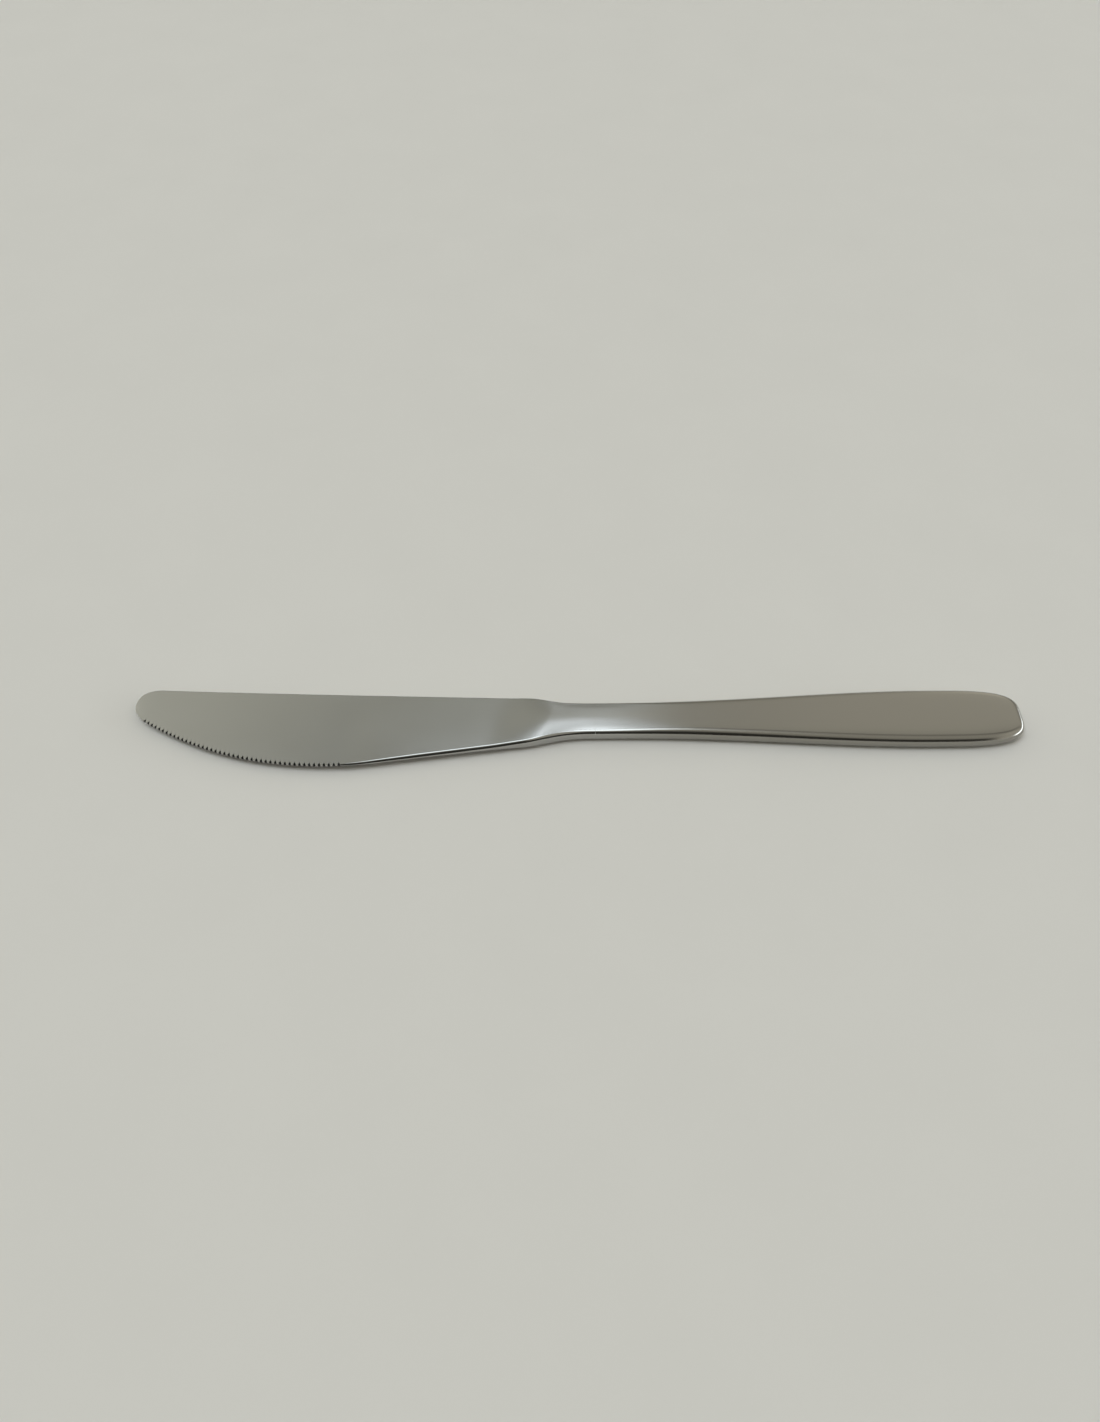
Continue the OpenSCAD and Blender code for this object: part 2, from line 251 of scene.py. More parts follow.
class KnifeForm:
    """Outline, thickness and rim of the knife along X, over the handle's centre line and middle plane."""

    def __init__(self, scene):
        self.blade = scene.knife_blade
        self.teeth = scene.knife_teeth
        self.neck = scene.knife_neck
        self.handle = scene.knife_handle
        self.wear = scene.knife_finish.wear
        self.belly_x = TIP_X + self.blade.belly_reach
        self.nose_x = TIP_X + self.blade.nose_length
        self.heel_x = JOINT_X - self.neck.heel_length
        self.shoulder_x = JOINT_X - self.neck.shoulder_setback
        self.plunge_x = JOINT_X - self.neck.plunge_setback
        self.wide_x = BUTT_X - self.handle.wide_setback

    def nose(self, x):
        """How far the rounded nose has opened out: 0 at the tip and 1 behind the nose."""
        return rounded((x - TIP_X) / self.blade.nose_length, NOSE_POWER)

    def plain(self, x):
        """How far the toothed edge has passed into the plain one: 0 at the belly and 1 behind its bend."""
        return ease((x - self.belly_x) / self.blade.belly_bend)

    def heel(self, x):
        """How far the rear edge has come in to the neck: 0 where its curve starts and 1 at the joint."""
        return ease((x - JOINT_X) / self.neck.heel_length + 1)

    def flat(self, x):
        """How far the crowned neck has passed into the flat handle: 0 at the joint and 1 on the flat."""
        return ease((x - JOINT_X) / self.handle.crown_fade)

    def spine_y(self, x):
        """Height of the spine over the handle's centre line."""
        blade = self.blade
        if x < self.nose_x:
            return mix(blade.tip_height, blade.spine_height, self.nose(x))
        run = x - self.nose_x
        along = run / (self.shoulder_x - self.nose_x)
        hollow = blade.spine_hollow * 4 * along * (1 - along)
        line = blade.spine_height - math.tan(blade.spine_fall) * run - hollow
        return mix(line, self.neck.width / 2, ease((x - self.shoulder_x) / self.neck.shoulder_length + 1))

    def edge_y(self, x):
        """Height of the edge over the handle's centre line."""
        blade = self.blade
        if x < self.belly_x:
            along = max(x - TIP_X, 0)
            sweep = 1 - (1 - along / blade.belly_reach) ** BELLY_BULGE
            chin = blade.chin_drop * rounded(along / blade.chin_length, CHIN_POWER)
            return mix(blade.tip_height, blade.chin_drop - blade.belly_depth, sweep) - chin
        run = x - self.belly_x
        bend = blade.belly_bend
        climb = run * run / (2 * bend) if run < bend else run - bend / 2
        line = math.tan(blade.heel_rise) * climb - blade.belly_depth
        return mix(line, -self.neck.width / 2, self.heel(x))

    def spread_y(self, x):
        """Half the width of the handle, without the rounding of its butt."""
        spread = clamp((x - JOINT_X) / (self.wide_x - JOINT_X)) ** SPREAD_POWER
        return mix(self.neck.width, self.handle.width, ease(spread)) / 2

    def grip_y(self, x):
        """Half the width of the handle."""
        return self.spread_y(x) * rounded((BUTT_X - x) / self.handle.butt_length, BUTT_POWER)

    def grip_level(self, x, y):
        """How far out a point of the handle lies: 0 on its centre line and 1 on its outline."""
        along = clamp((x - BUTT_X) / self.handle.butt_length + 1)
        across = abs(y) / self.spread_y(x)
        return (along ** BUTT_POWER + across ** BUTT_POWER) ** (1 / BUTT_POWER)

    def plate_half(self, x, share):
        """Half thickness of the blade, where share is -1 at the edge and 1 at the spine."""
        blade = self.blade
        shoulder_start = self.shoulder_x - self.neck.shoulder_length
        spine = mix(blade.tip_thickness, blade.spine_thickness, ease((x - TIP_X) / (shoulder_start - TIP_X)))
        along = clamp((x - self.belly_x) / (self.heel_x - self.belly_x))
        thicker = along ** HEEL_POWER * ease(along / HEEL_START)
        edge = mix(blade.edge_thickness, blade.heel_thickness, thicker)
        return mix(edge, spine, self.nose(x) * (share + 1) / 2) / 2

    def plunge_lean(self, share):
        """How far the plunge line stands from its middle along X."""
        return self.neck.plunge_slant * share - self.neck.plunge_bow * share * share

    def half_thickness(self, x, share):
        """Half thickness of the knife, with the crown of its neck."""
        body = MIDDLE_Z - self.neck.crown * (1 - self.flat(x)) * share * share
        run = x - self.plunge_x - self.plunge_lean(share)
        return mix(self.plate_half(x, share), body, ease(run / self.neck.rise_length + 1))

    def rim(self, x, share):
        """Rounding of the rim, as far as the thickness of the side lets it."""
        blade = self.blade
        if x > JOINT_X:
            size = mix(self.neck.rim, self.handle.rim, self.flat(x))
        elif share < 0:
            size = mix(mix(blade.edge_bevel, blade.rear_rim, self.plain(x)), self.neck.rim, self.heel(x))
        else:
            size = mix(mix(blade.edge_bevel, blade.rim, self.nose(x)), self.neck.rim, self.heel(x))
        return min(size, RIM_LIMIT * self.half_thickness(x, share))

    def rim_power(self, x, share):
        """Shape of the rim: 1 for a round one, and more towards a flat bevel on the plain rear edge."""
        if share > 0 or x > JOINT_X:
            return 1
        return mix(BLUNT_POWER, 1, self.heel(x))

    def face_height(self, x, y, near_y, far_y):
        """Height of the upper face at a point between the two outlines."""
        low = near_y(x) + self.rim(x, -1)
        high = far_y(x) - self.rim(x, 1)
        share = clamp((2 * y - low - high) / (high - low), -1, 1) if high > low else 0
        return self.half_thickness(x, share)

    def blade_height(self, x, y):
        """Height of the blade's upper face. It rolls off towards the plain rear edge, in full from half way
        along that edge until the plunge line is near."""
        blade = self.blade
        start = ease((x - self.belly_x) / (self.plunge_x - self.belly_x) * 2)
        stop = ease((x - self.plunge_x) / self.neck.plunge_setback + 1)
        near = clamp(1 - (y - self.edge_y(x)) / blade.roll_reach)
        roll = blade.edge_roll * start * (1 - stop) * near ** 2
        return self.face_height(x, y, self.edge_y, self.spine_y) - roll

    def grip_height(self, x, y):
        """Height of the handle's upper face, which falls off towards its rim."""
        fall = self.handle.fall * self.flat(x)
        face = self.face_height(x, y, lambda x: -self.grip_y(x), self.grip_y)
        return face - fall * self.grip_level(x, y) ** FALL_POWER

    def sheen(self, x):
        """Polish that is left on the rim at a place along the knife."""
        return 1 - self.wear * self.flat(x)

    def bevel(self, x, share):
        """How much of the rim is a flat bevel: 1 along the toothed edge and 0 elsewhere."""
        if share > 0 or x > JOINT_X:
            return 0
        return ease((x - TIP_X) / self.teeth.setback) * (1 - self.plain(x))


class Slab:
    """A flat piece between two outlines, which meet in a rounded end at their first point and stop
    square at the joint at their last. Its upper half is modelled over the middle plane and mirrored.
    Each of its columns runs across from the near outline to the far one."""

    RIM_STEPS = 8
    BAR_SIDES = 48
    # Width of the narrow row of faces along the inner edge of the rim
    LIP = 0.04 * MM
    # Share of the width from which a point of the face counts as one of its outermost
    OUTERMOST = 0.999
    # Distance up to which two points are one
    MERGE = 1e-7
    SHARP_ANGLE = math.radians(38)

    def __init__(self, form, height, near, far, way, rows, margins, bows=None):
        self.form = form
        self.height = height
        self.sides = {-1: near, 1: far}
        self.way = way
        self.margins = margins
        self.bows = bows or [0] * len(near)
        self.last = len(near) - 1
        self.out = {side: [self.outward(side, i) for i in range(self.last + 1)] for side in (-1, 1)}
        self.bm = bmesh.new()
        self.column = self.bm.verts.layers.int.new("column")
        self.side = self.bm.verts.layers.int.new("side")
        self.rim = self.bm.verts.layers.int.new("rim")
        self.polish = self.bm.verts.layers.float.new("polish")
        # How deep in a notch a point lies, for the notch's roughness and its painted shade
        self.notch = self.bm.verts.layers.float.new("notch")
        self.upper_face(rows)
        self.upper_rim()
        self.mirror()

    def outward(self, side, i):
        """Direction out of the outline at its point i."""
        if i == 0:
            return Vector((self.way, 0))
        if i == self.last:
            return Vector((0, side))
        points = self.sides[side]
        run = points[i + 1] - points[i - 1]
        normal = Vector((-run.y, run.x)).normalized()
        return normal * math.copysign(1, run.x) * side

    def inset(self, side, i, distance):
        """Place at a distance inside the outline's point i."""
        return self.sides[side][i] - self.out[side][i] * distance

    def rim_size(self, side, i):
        """Rounding of the rim at the outline's point i."""
        return self.form.rim(self.sides[side][i].x, side)

    def upper_face(self, rows):
        """The face inside the rim, from a grid whose first column closes in the rounded end."""
        bmesh.ops.create_grid(self.bm, x_segments=self.last, y_segments=rows, size=1)
        for v in self.bm.verts:
            i = round((v.co.x + 1) / 2 * self.last)
            share = v.co.y
            near = self.inset(-1, i, self.rim_size(-1, i) + self.margins[i])
            far = self.inset(1, i, self.rim_size(1, i) + self.margins[i])
            plan = near.lerp(far, (share + 1) / 2)
            plan.x += self.bows[i] * (1 - share * share)
            v[self.column] = i
            v[self.side] = round(share) if abs(share) > self.OUTERMOST else 0
            v.co = (plan.x, plan.y, self.height(plan.x, plan.y))
        bmesh.ops.remove_doubles(self.bm, verts=self.bm.verts, dist=self.MERGE)

    def at_joint(self, edge):
        """Whether an edge lies in the square end."""
        return all(v[self.column] == self.last for v in edge.verts)

    def upper_rim(self):
        """Rows that run out over the face, round the rim and down to the middle plane."""
        edges = [e for e in self.bm.edges if e.is_boundary and not self.at_joint(e)]
        turns = [math.pi / 2 * (1 - k / self.RIM_STEPS) for k in range(self.RIM_STEPS + 1)]
        edges = self.rim_row(edges, turns[0], self.LIP, 0)
        for turn in turns:
            edges = self.rim_row(edges, turn, 0, 1)
        self.rim_row(edges, None, 0, 1)

    def rim_row(self, edges, turn, lip, rim):
        """One more row, at an angle of the rounding, or on the middle plane where there is no angle.
        Gives the new outer edges."""
        made = bmesh.ops.extrude_edge_only(self.bm, edges=edges)["geom"]
        verts = {g for g in made if isinstance(g, bmesh.types.BMVert)}
        for v in verts:
            i = v[self.column]
            side = v[self.side] or -1
            size = self.rim_size(side, i)
            if turn is None:
                point = self.inset(side, i, 0)
                v.co = (point.x, point.y, 0)
            else:
                start = self.inset(side, i, size + lip)
                height = self.height(*start)
                bevel = self.form.bevel(self.sides[side][i].x, side)
                power = self.form.rim_power(self.sides[side][i].x, side)
                down = 1 - turn / (math.pi / 2)
                out = mix(math.cos(turn) ** power, down, bevel) * size
                fall = mix(size * (1 - math.sin(turn) ** power), height * BEVEL_LIMIT * down, bevel)
                point = start + self.out[side][i] * out
                v.co = (point.x, point.y, height - fall)
            v[self.rim] = 1 + rim
            v[self.polish] = rim * self.form.sheen(v.co.x)
        return [g for g in made if isinstance(g, bmesh.types.BMEdge) and set(g.verts) <= verts]

    def mirror(self):
        """Adds the lower half."""
        geometry = self.bm.verts[:] + self.bm.edges[:] + self.bm.faces[:]
        bmesh.ops.mirror(self.bm, geom=geometry, matrix=Matrix.Identity(4), merge_dist=self.MERGE, axis="Z")

    def joint_bar(self, radius, length):
        """Closes the square end round a bar of that length along X: a tang if it stands out of the piece,
        or a blind bore if it runs into it."""
        rim = [e for e in self.bm.edges if e.is_boundary]
        end_x = self.sides[1][self.last].x
        place = Matrix.Translation((end_x, 0, 0)) @ Matrix.Rotation(math.pi / 2, 4, "Y")
        ring = bmesh.ops.create_circle(self.bm, segments=self.BAR_SIDES, radius=radius, matrix=place)
        ring_edges = list({e for v in ring["verts"] for e in v.link_edges})
        bmesh.ops.bridge_loops(self.bm, edges=rim + ring_edges)
        made = bmesh.ops.extrude_edge_only(self.bm, edges=ring_edges)["geom"]
        end = [g for g in made if isinstance(g, bmesh.types.BMVert)]
        bmesh.ops.translate(self.bm, verts=end, vec=(length, 0, 0))
        bmesh.ops.contextual_create(self.bm, geom=[e for e in self.bm.edges if e.is_boundary])

    def finish(self, name, material, node):
        """Makes the object of this piece, which rides on the knife and stands for a node."""
        bm = self.bm
        bmesh.ops.translate(bm, verts=bm.verts, vec=(0, AXIS_Y, MIDDLE_Z))
        bmesh.ops.recalc_face_normals(bm, faces=bm.faces)
        mesh = bpy.data.meshes.new(name)
        bm.to_mesh(mesh)
        bm.free()
        mesh.shade_smooth()
        mesh.set_sharp_from_angle(angle=self.SHARP_ANGLE)
        piece = bpy.data.objects.new(name, mesh)
        bpy.context.scene.collection.objects.link(piece)
        mesh.materials.append(material)
        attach(piece, "root")
        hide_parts(node)


class Shade:
    """A shader socket on which Python's operators add Math nodes."""

    def __init__(self, tree, socket):
        self.tree = tree
        self.socket = socket

    def math(self, operation, *values):
        """Adds a Math node."""
        return self.tree.node("ShaderNodeMath", {"operation": operation}, dict(enumerate(values)))

    def __add__(self, other):
        return self.math("ADD", self, other)

    def __radd__(self, other):
        return self.math("ADD", other, self)

    def __sub__(self, other):
        return self.math("SUBTRACT", self, other)

    def __rsub__(self, other):
        return self.math("SUBTRACT", other, self)

    def __mul__(self, other):
        return self.math("MULTIPLY", self, other)

    def __rmul__(self, other):
        return self.math("MULTIPLY", other, self)

    def __truediv__(self, other):
        return self.math("DIVIDE", self, other)

    def __rtruediv__(self, other):
        return self.math("DIVIDE", other, self)


class ShadeTree:
    """A material's or world's nodes, built one at a time."""

    def __init__(self, owner):
        owner.use_nodes = True
        self.nodes = owner.node_tree.nodes
        self.links = owner.node_tree.links
        self.nodes.clear()

    def node(self, kind, settings=None, inputs=None, output=0):
        """Adds a node: its settings first, then the values or links of its sockets.
        Gives one of its outputs, by name or number."""
        made = self.nodes.new(kind)
        for name, value in (settings or {}).items():
            if name == "stops":
                self.fill_ramp(made.color_ramp, value)
            else:
                setattr(made, name, value)
        for name, value in (inputs or {}).items():
            if isinstance(value, Shade):
                self.links.new(value.socket, made.inputs[name])
            else:
                made.inputs[name].default_value = value
        return Shade(self, made.outputs[output]) if made.outputs else None

    def fill_ramp(self, ramp, stops):
        """Gives a ramp its grey stops, which are pairs of a place and a level."""
        ramp.interpolation = "EASE"
        while len(ramp.elements) < len(stops):
            ramp.elements.new(1)
        for element, (place, level) in zip(ramp.elements, stops):
            element.position = place
            element.color = (level, level, level, 1)

    def smooth(self, value, low, high):
        """Smooth passage from 0 to 1 as a value goes from low to high."""
        return self.node("ShaderNodeMapRange", {"interpolation_type": "SMOOTHSTEP"},
                         {"Value": value, "From Min": low, "From Max": high})

    def band(self, value, ends, soft_low, soft_high):
        """1 where a value lies between two ends, with its own softness at each."""
        low, high = ends
        start = self.smooth(value, low - soft_low, low + soft_low)
        return start * self.smooth(value, high + soft_high, high - soft_high)

    def axis(self, vector, name):
        """One coordinate of a vector: X, Y or Z."""
        return self.node("ShaderNodeSeparateXYZ", None, {"Vector": vector}, output=name)

    def place(self):
        """Object coordinates."""
        return self.node("ShaderNodeTexCoord", output="Object")

    def mark(self, name):
        """A number that the mesh holds for each of its points."""
        return self.node("ShaderNodeAttribute", {"attribute_name": name}, output="Fac")

    def noise(self, grains, detail=2.0, rough=0.5):
        """Noise around 0, with so many grains to the metre along each axis."""
        place = self.node("ShaderNodeMapping", {"vector_type": "POINT"},
                          {"Vector": self.place(), "Scale": grains})
        return self.node("ShaderNodeTexNoise", None,
                         {"Vector": place, "Scale": 1.0, "Detail": detail, "Roughness": rough}) - 0.5

    def mixed(self, first, second, factor, blend="MIX"):
        """Two colours, each a link or three numbers, mixed into one."""
        sockets = {"Factor": factor}
        for name, colour in (("A", first), ("B", second)):
            sockets[name] = colour if isinstance(colour, Shade) else (*colour, 1)
        return self.node("ShaderNodeMix", {"data_type": "RGBA", "blend_type": blend}, sockets,
                         output="Result")

    def colour(self, tint, shade):
        """A colour times a shade that varies."""
        grey = self.node("ShaderNodeCombineColor", None, {"Red": shade, "Green": shade, "Blue": shade})
        return self.mixed(tint, grey, 1.0, "MULTIPLY")

    def surface(self, sockets):
        """Ends a material in a shader with these values or links."""
        shader = self.node("ShaderNodeBsdfPrincipled", None, sockets)
        self.node("ShaderNodeOutputMaterial", None, {"Surface": shader})


# Brush lines of the steel: their noise, and what they change in its roughness, its shade and its height
GRAIN_DETAIL = 3.0
GRAIN_BREAK = 0.6
GRAIN_ROUGH = 0.04
GRAIN_SHADE = 0.04
GRAIN_BUMP = 0.03
GRAIN_HEIGHT = 0.03 * MM
# Clouds of the steel, in grains to the metre, and what they change in its roughness and its shade
CLOUD_GRAINS = (60, 140, 140)
CLOUD_ROUGH = 0.05
CLOUD_SHADE = 0.04
# Depth share at which a notch is fully ground and darkened, and the share of light its painted shade takes
GRIND_AND_SHADE_DEPTH = 0.3
NOTCH_PAINTED_SHADE = 0.92
# Clouds of the braze, in grains to the metre, and what they change in its roughness and its shade
BRAZE_GRAINS = (900, 900, 900)
BRAZE_CHANGE = 0.1


def grip_toned_tint(tree, tint):
    """Colour of the steel along the knife, darker and warmer on the grip."""
    scene = bpy.context.scene
    on_grip = tree.smooth(tree.axis(tree.place(), "X"), JOINT_X, JOINT_X + scene.knife_handle.crown_fade)
    grip = [own * grip_factor for own, grip_factor in zip(tint, scene.knife_finish.grip_tint)]
    return tree.mixed(tint, grip, on_grip)


def brushed_steel(name, tint):
    """Satin steel with brush lines along the knife, polished rims and dull ground notches in painted shade.
    """
    finish = bpy.context.scene.knife_finish
    material = bpy.data.materials.new(name)
    tree = ShadeTree(material)
    face = 1 - tree.mark("polish")
    # How deep a point lies in a notch: this makes the ground notch rough and paints shade into its colour
    ground = tree.smooth(tree.mark("notch"), 0, GRIND_AND_SHADE_DEPTH)
    lines = (1 / finish.grain_length, 1 / finish.grain_width, 1 / finish.grain_width)
    grain = tree.noise(lines, GRAIN_DETAIL, GRAIN_BREAK)
    cloud = tree.noise(CLOUD_GRAINS)
    satin = finish.satin - finish.polish + cloud * CLOUD_ROUGH + grain * GRAIN_ROUGH
    rough = finish.polish + face * satin + ground * (finish.notch - finish.polish)
    # Grain and clouds vary the colour, and the notches are darkened by painted shade
    shade = (1 + face * (grain * GRAIN_SHADE + cloud * CLOUD_SHADE)) * (1 - ground * NOTCH_PAINTED_SHADE)
    bump = tree.node("ShaderNodeBump", None, {
        "Strength": GRAIN_BUMP, "Distance": GRAIN_HEIGHT, "Height": grain * face})
    tree.surface({
        "Base Color": tree.colour(grip_toned_tint(tree, tint), shade), "Metallic": 1.0, "Roughness": rough,
        "Normal": bump})
    return material


def braze_alloy(name, tint):
    """Pale braze, ground flush with the steel."""
    material = bpy.data.materials.new(name)
    tree = ShadeTree(material)
    cloud = tree.noise(BRAZE_GRAINS) * BRAZE_CHANGE
    rough = bpy.context.scene.knife_finish.braze + cloud
    tree.surface({"Base Color": tree.colour(tint, 1 + cloud), "Metallic": 1.0, "Roughness": rough})
    return material


class KNIFE_OT_blade(bpy.types.Operator):
    """Models the blade with its teeth, shoulder and tang"""

    bl_idname = "knife.blade"
    bl_label = "Blade"

    ROWS = 20
    NOSE_STEPS = 14
    NOTCH_STEPS = 8
    REAR_STEPS = 24
    LEAD_STEPS = 16
    PLUNGE_STEPS = 30
    NECK_STEPS = 24
    # Width of the strip of face next to the rim, where the edge is toothed and where it is plain
    TOOTHED_MARGIN = 0.9 * MM
    PLAIN_MARGIN = 0.3 * MM
    # How far the close columns reach on each side of the plunge line
    PLUNGE_BAND = 3.0 * MM

    def execute(self, context):
        form = KnifeForm(context.scene)
        places, notches = self.columns(form)
        leans = [1 - ease(abs(x - form.plunge_x) / form.neck.plunge_setback) for x in places]
        near, far = self.outlines(form, places, leans)
        bows = [lean * form.neck.plunge_bow for lean in leans]
        margins = [mix(self.TOOTHED_MARGIN, self.PLAIN_MARGIN, form.plain(x)) for x in places]
        slab = Slab(form, form.blade_height, near, far, -1, self.ROWS, margins, bows)
        self.grind_teeth(slab, notches)
        slab.joint_bar(form.neck.tang_diameter / 2, TANG_END_X - JOINT_X)
        steel = brushed_steel("blade_steel", context.scene.knife_finish.blade_colour)
        slab.finish("blade_forging", steel, "blade")
        return {"FINISHED"}

    def columns(self, form):
        """Places of the grid's columns along X, and how deep in a notch each one is, from 0 to 1."""
        teeth = form.teeth
        turn = math.acos(1 - teeth.setback / form.blade.nose_length)
        places = [TIP_X + form.blade.nose_length * (1 - math.cos(turn * i / self.NOSE_STEPS))
                  for i in range(self.NOSE_STEPS + 1)]
        notches = [0.0] * len(places)
        step = teeth.pitch / self.NOTCH_STEPS
        for k in range(teeth.count * self.NOTCH_STEPS):
            x = places[-1]
            slope = (form.edge_y(x + step) - form.edge_y(x)) / step
            from_middle = abs((k + 1) % self.NOTCH_STEPS / self.NOTCH_STEPS - 0.5) * teeth.pitch
            places.append(x + step / math.hypot(1, slope))
            notches.append(max(0.0, 1 - from_middle / (teeth.width / 2)))
        lead_x = form.plunge_x - form.neck.plunge_setback
        stretches = ((lead_x, self.REAR_STEPS), (form.plunge_x - self.PLUNGE_BAND, self.LEAD_STEPS),
                     (form.plunge_x + self.PLUNGE_BAND, self.PLUNGE_STEPS), (JOINT_X, self.NECK_STEPS))
        for end, count in stretches:
            places += steps(places[-1], end, count)
        notches += [0.0] * (len(places) - len(notches))
        return places, notches

    def outlines(self, form, places, leans):
        """The two outlines. Their points lean with the plunge line, most at the line itself."""
        near, far = [], []
        for x, lean in zip(places, leans):
            for side, outline, height in ((-1, near, form.edge_y), (1, far, form.spine_y)):
                there = x + lean * form.plunge_lean(side)
                outline.append(Vector((there, height(there))))
        return near, far

    def grind_teeth(self, slab, notches):
        """Moves the rim in at each notch, deeper in the upper face than in the lower one."""
        teeth = slab.form.teeth
        for v in slab.bm.verts:
            i = v[slab.column]
            if notches[i] and v[slab.rim] and v[slab.side] == -1:
                half = slab.form.half_thickness(slab.sides[-1][i].x, -1)
                reach = mix(teeth.lower_depth, teeth.upper_depth, (v.co.z / half + 1) / 2)
                v.co -= slab.out[-1][i].to_3d() * notches[i] * reach
                # This depth makes the notch rough and darkens its colour as painted shade in the material
                v[slab.notch] = notches[i] if v[slab.rim] > 1 else 0


class KNIFE_OT_handle(bpy.types.Operator):
    """Models the solid handle with the bore for the tang"""

    bl_idname = "knife.handle"
    bl_label = "Handle"

    ROWS = 18
    BUTT_STEPS = 48
    GRIP_STEPS = 110
    # Width of the strip of face next to the rim
    MARGIN = 0.3 * MM

    def execute(self, context):
        form = KnifeForm(context.scene)
        turns = [math.pi / 2 * i / self.BUTT_STEPS for i in range(self.BUTT_STEPS + 1)]
        places = [BUTT_X - form.handle.butt_length * (1 - max(math.cos(turn), 0) ** (2 / BUTT_POWER))
                  for turn in turns]
        places += steps(places[-1], JOINT_X + FILM, self.GRIP_STEPS)
        near = [Vector((x, -form.grip_y(x))) for x in places]
        far = [Vector((x, form.grip_y(x))) for x in places]
        slab = Slab(form, form.grip_height, near, far, 1, self.ROWS, [self.MARGIN] * len(places))
        slab.joint_bar(form.neck.tang_diameter / 2 + FILM, TANG_END_X - JOINT_X)
        steel = brushed_steel("handle_steel", context.scene.knife_finish.handle_colour)
        slab.finish("handle_bar", steel, "handle")
        return {"FINISHED"}


class KNIFE_OT_braze(bpy.types.Operator):
    """Gives the brazed seam its finish"""

    bl_idname = "knife.braze"
    bl_label = "Brazed seam"

    def execute(self, context):
        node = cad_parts["braze_joint"]
        node.data.materials.clear()
        node.data.materials.append(braze_alloy("braze_alloy", context.scene.knife_finish.braze_colour))
        return {"FINISHED"}


class Lamp(NamedTuple):
    """Where a lamp or window stands: its angles from overhead towards the far side, in degrees, its reach
    to the sides as a share of the distance to it, and how soft its ends are."""

    angles: tuple
    angle_edge: float
    sides: tuple
    side_edges: tuple


class Wall(NamedTuple):
    """A stretch of the walls: its reach to the sides as a share of the distance to it, how soft its ends
    are, the angles between which it turns from the near side to the far one, and its change of light on
    each of the two."""

    sides: tuple
    side_edges: tuple
    turn: tuple
    near: float
    far: float


def ramp_place(angle):
    """Place from 0 to 1 on a ramp, of an angle from -90 to 90 degrees."""
    return angle / 180 + 0.5


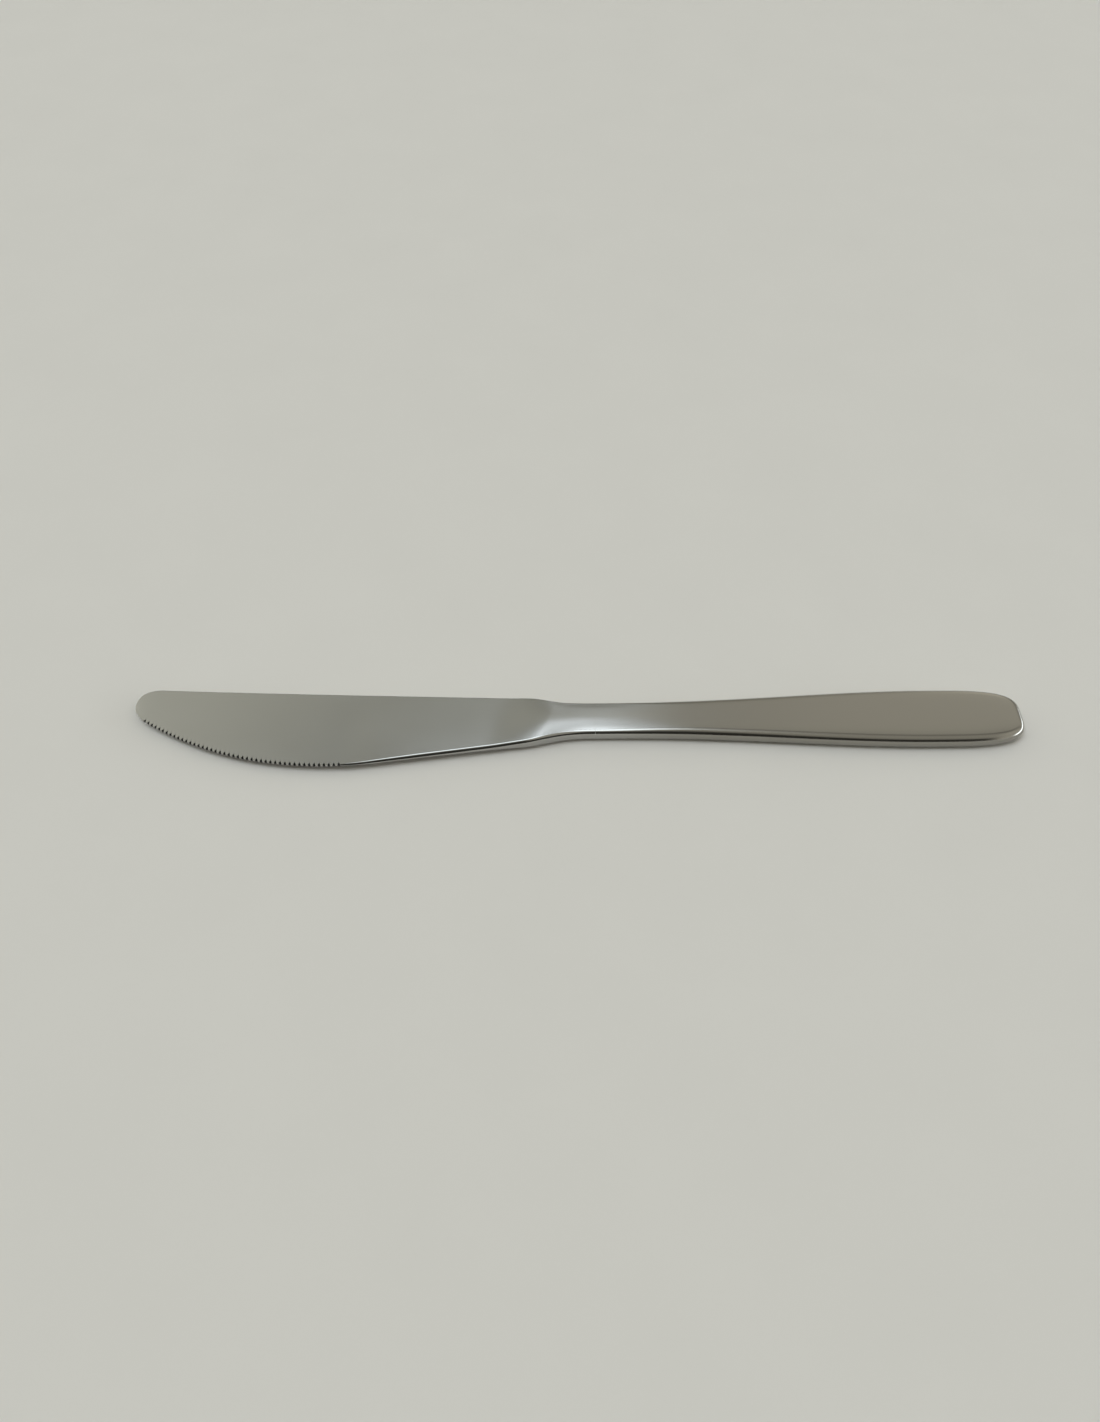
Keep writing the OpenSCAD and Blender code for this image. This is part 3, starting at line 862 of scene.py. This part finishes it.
class KNIFE_OT_stage(bpy.types.Operator):
    """Sets the floor, the light and the camera"""

    bl_idname = "knife.stage"
    bl_label = "Stage"

    # Reach of the floor from its middle in metres, its clouds in grains to the metre, and its finish
    FLOOR_REACH = 3
    FLOOR_GRAINS = (40, 40, 40)
    FLOOR_DETAIL = 4.0
    FLOOR_SHADE = 0.04
    FLOOR_ROUGH = 0.75
    FLOOR_GLOSS = 0.2

    # Light of the walls by the angle from overhead, in degrees, which is positive on the far side
    WALL_LIGHT = ((-90, 0.34), (-60, 0.30), (-38, 0.28), (-26, 0.32), (-8, 0.33), (6, 0.30), (18, 0.21),
                  (26, 0.24), (31, 0.31), (36, 0.38), (46, 0.33), (58, 0.28), (70, 0.25), (80, 0.27),
                  (90, 0.34))
    # Beyond every side of the room, for a stretch that has no end there
    END = 2
    # A pale stretch across from the handle, by the light that it adds
    PALE_WALL = Wall((0.36, 0.55), (0.08, 0.08), (38, 50), 0, 0.198)
    # Stretches that are lighter or darker than the rest, by a share of the light there
    WALLS = {
        "past the tip": Wall((-END, -0.3), (0.18, 0.18), (0, 25), 0, 0.95),
        "across from the blade": Wall((-0.26, -0.06), (0.04, 0.04), (32, 38), 0, 0.15),
        "on the handle's side": Wall((0.095, END), (0.065, 0.065), (-90, 90), 0.32, 0.32),
        "across from the grip": Wall((0.215, END), (0.075, 0.075), (26, 34), 0, 0.26),
        "past the butt": Wall((0.55, END), (0.07, 0.07), (15, 45), 0.45, -0.2),
    }
    # The dark place behind the camera, and how many degrees lower its edge is on the handle's side
    SHADE = Wall((-0.8, 0.55), (0.15, 0.08), (-46, -28), 1, 0)
    SHADE_DROP = 13
    SHADE_DROP_SIDES = (0.05, 0.2)
    # The bright wall past the tip
    LEFT_WALL = Wall((-END, -0.65), (0.15, 0.15), (-20, 20), 0, 1)
    # Where the walls' tint passes from the blade's side to the handle's
    TINT_SIDES = (-0.05, 0.15)

    # Where the lamps and windows are, by the stage's value that holds their light
    LAMPS = {
        "panel_light": Lamp((-14, 14), 3, (-0.22, 0.094), (0.03, 0.02)),
        "neck_light": Lamp((10, 30), 5, (-0.018, 0.045), (0.012, 0.045)),
        "far_light": Lamp((27, 55), 6, (0.032, 0.062), (0.008, 0.033)),
        "spill_light": Lamp((10, 29), 6, (-0.14, -0.018), (0.04, 0.012)),
        "ceiling_light": Lamp((-18, 14), 4, (-0.52, -0.24), (0.06, 0.03)),
    }
    # The low window past the butt: where it starts to the side, and where it stops upwards
    BUTT_SIDES = (0.8, 0.9)
    BUTT_HEIGHTS = (0.3, 0.2)

    # Width of the camera's sensor in millimetres, and where its view starts
    SENSOR_WIDTH = 36
    CLIP_START = 10 * MM

    def execute(self, context):
        stage = context.scene.knife_stage
        context.scene.view_settings.view_transform = "Standard"
        self.floor(stage)
        self.room(context.scene, stage)
        self.camera(context.scene, stage)
        return {"FINISHED"}

    def floor(self, stage):
        """A plain pale floor."""
        bm = bmesh.new()
        bmesh.ops.create_grid(bm, x_segments=1, y_segments=1, size=self.FLOOR_REACH)
        mesh = bpy.data.meshes.new("floor")
        bm.to_mesh(mesh)
        bm.free()
        floor = bpy.data.objects.new("floor", mesh)
        bpy.context.scene.collection.objects.link(floor)
        material = bpy.data.materials.new("pale_floor")
        tree = ShadeTree(material)
        shade = 1 + tree.noise(self.FLOOR_GRAINS, self.FLOOR_DETAIL) * self.FLOOR_SHADE
        tree.surface({
            "Base Color": tree.colour(stage.floor_colour, shade), "Roughness": self.FLOOR_ROUGH,
            "Specular IOR Level": self.FLOOR_GLOSS})
        mesh.materials.append(material)

    def room(self, scene, stage):
        """A room with dim walls, a panel overhead, windows and a dark place behind the camera."""
        world = bpy.data.worlds.new("room")
        scene.world = world
        tree = ShadeTree(world)
        way = tree.node("ShaderNodeTexCoord", output="Generated")
        x, y, z = (tree.axis(way, name) for name in "XYZ")
        angle = y.math("ARCTAN2", y, z) * math.degrees(1)
        tint = tree.mixed(stage.room_colour, stage.warm_colour, tree.smooth(x, *self.TINT_SIDES))
        walls = tree.colour(tint, self.wall_light(tree, stage, x, angle))
        lamps = tree.colour(stage.lamp_colour, self.lamp_light(tree, stage, x, z, angle))
        light = tree.mixed(walls, lamps, 1.0, "ADD")
        shader = tree.node("ShaderNodeBackground", None, {"Color": light, "Strength": stage.room_light})
        tree.node("ShaderNodeOutputWorld", None, {"Surface": shader})

    def wall_light(self, tree, stage, x, angle):
        """Light of the walls, with their lighter and darker stretches."""
        stops = [(ramp_place(place), level) for place, level in self.WALL_LIGHT]
        light = tree.node("ShaderNodeValToRGB", {"stops": stops}, {"Fac": ramp_place(angle)})
        light = light + self.stretch(tree, x, angle, self.PALE_WALL)
        for wall in self.WALLS.values():
            light = light * (1 + self.stretch(tree, x, angle, wall))
        drop = tree.smooth(x, *self.SHADE_DROP_SIDES) * self.SHADE_DROP
        light = light * (1 - self.stretch(tree, x, angle + drop, self.SHADE) * stage.shade_depth)
        return light + self.stretch(tree, x, angle, self.LEFT_WALL) * stage.left_light

    def stretch(self, tree, x, angle, wall):
        """Change of light on a stretch of the walls, and 0 beside it."""
        change = wall.near + tree.smooth(angle, *wall.turn) * (wall.far - wall.near)
        return tree.band(x, wall.sides, *wall.side_edges) * change

    def lamp_light(self, tree, stage, x, z, angle):
        """Light of the lamps and windows."""
        butt = tree.smooth(x, *self.BUTT_SIDES) * tree.smooth(z, *self.BUTT_HEIGHTS)
        light = butt * stage.butt_light
        for name, lamp in self.LAMPS.items():
            place = tree.band(angle, lamp.angles, lamp.angle_edge, lamp.angle_edge)
            place = place * tree.band(x, lamp.sides, *lamp.side_edges)
            light = light + place * getattr(stage, name)
        return light

    def camera(self, scene, stage):
        """A camera at the photograph's viewing angle."""
        data = bpy.data.cameras.new("camera")
        data.sensor_width = self.SENSOR_WIDTH
        data.lens = stage.focal_pixels / max(PHOTO_WIDTH, PHOTO_HEIGHT) * data.sensor_width
        data.clip_start = self.CLIP_START
        camera = bpy.data.objects.new("camera", data)
        scene.collection.objects.link(camera)
        turn = stage.camera_turn
        up = stage.camera_elevation
        back = Vector((math.sin(turn) * math.cos(up), -math.cos(turn) * math.cos(up), math.sin(up)))
        camera.location = Vector((stage.target_x, stage.target_y, 0)) + back * stage.camera_distance
        camera.rotation_mode = "QUATERNION"
        camera.rotation_quaternion = (-back).to_track_quat("-Z", "Y")
        scene.camera = camera


class KNIFE_PT_panel(bpy.types.Panel):
    """Lists the knife's pieces and its stage"""

    bl_idname = "KNIFE_PT_panel"
    bl_label = "Dessert knife"
    bl_space_type = "VIEW_3D"
    bl_region_type = "UI"
    bl_category = "Knife"

    def draw(self, context):
        for operator in OPERATORS:
            self.layout.operator(operator.bl_idname)
        for group in GROUPS:
            box = self.layout.box()
            values = getattr(context.scene, group)
            for name in values.bl_rna.properties.keys():
                if name not in ("rna_type", "name"):
                    box.prop(values, name)


OPERATORS = (KNIFE_OT_stage, KNIFE_OT_blade, KNIFE_OT_handle, KNIFE_OT_braze)
GROUPS = {
    "knife_blade": KnifeBladeSizes,
    "knife_teeth": KnifeToothSizes,
    "knife_neck": KnifeNeckSizes,
    "knife_handle": KnifeHandleSizes,
    "knife_finish": KnifeFinish,
    "knife_stage": KnifeStage,
}
CLASSES = (*GROUPS.values(), *OPERATORS, KNIFE_PT_panel)


def register():
    for cls in CLASSES:
        bpy.utils.register_class(cls)
    for name, group in GROUPS.items():
        setattr(bpy.types.Scene, name, PointerProperty(type=group))


def unregister():
    for name in GROUPS:
        delattr(bpy.types.Scene, name)
    for cls in reversed(CLASSES):
        bpy.utils.unregister_class(cls)


def main():
    register()
    bpy.ops.knife.stage()
    bpy.ops.knife.blade()
    bpy.ops.knife.handle()
    bpy.ops.knife.braze()


if __name__ == "__main__":
    main()
